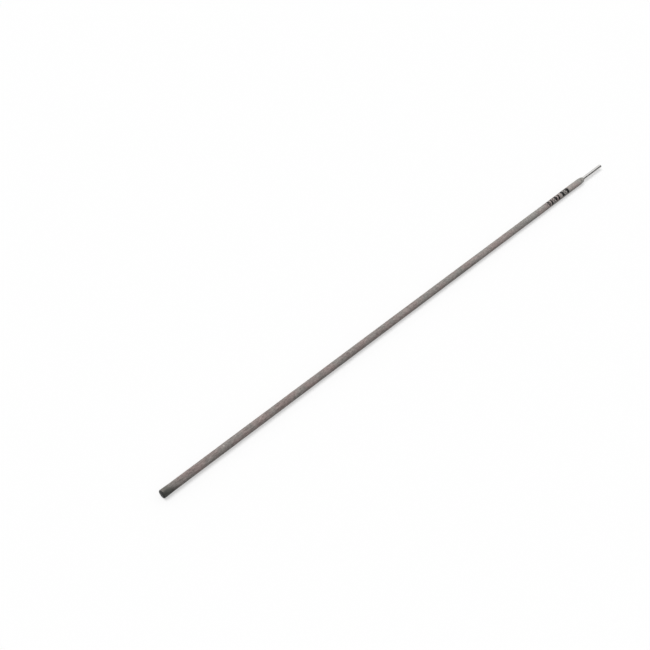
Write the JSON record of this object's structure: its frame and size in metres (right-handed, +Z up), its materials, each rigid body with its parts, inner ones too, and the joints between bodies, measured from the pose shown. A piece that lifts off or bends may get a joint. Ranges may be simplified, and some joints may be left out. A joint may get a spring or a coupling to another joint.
{
  "type": "stick welding electrode",
  "caption": "Straight flux-coated welding rod: a steel core wire left bare at the grip end, a coat that tapers to it and a graphite-dipped striking end.",
  "frame": {"origin": "centre of the core wire's cropped end face at the grip end, on the electrode's axis", "axes": "+X along the electrode and out of the grip end, so the striking end is towards -X; +Z is up and the electrode is round about X"},
  "size_m": [0.3501, 0.0044, 0.0044],
  "materials": {
    "bright_wire": "drawn steel wire, brushed bright at the grip",
    "flux_coat": "matt, fine-grained extruded mineral coat, warm grey",
    "starting_graphite": "matt black graphite dip, thin enough at its edge for the coat to show through"
  },
  "bodies": {
    "root": {"core_wire": "bright_wire", "flux_coating": "flux_coat", "graphite_tip": "starting_graphite"}
  },
  "joints": []
}
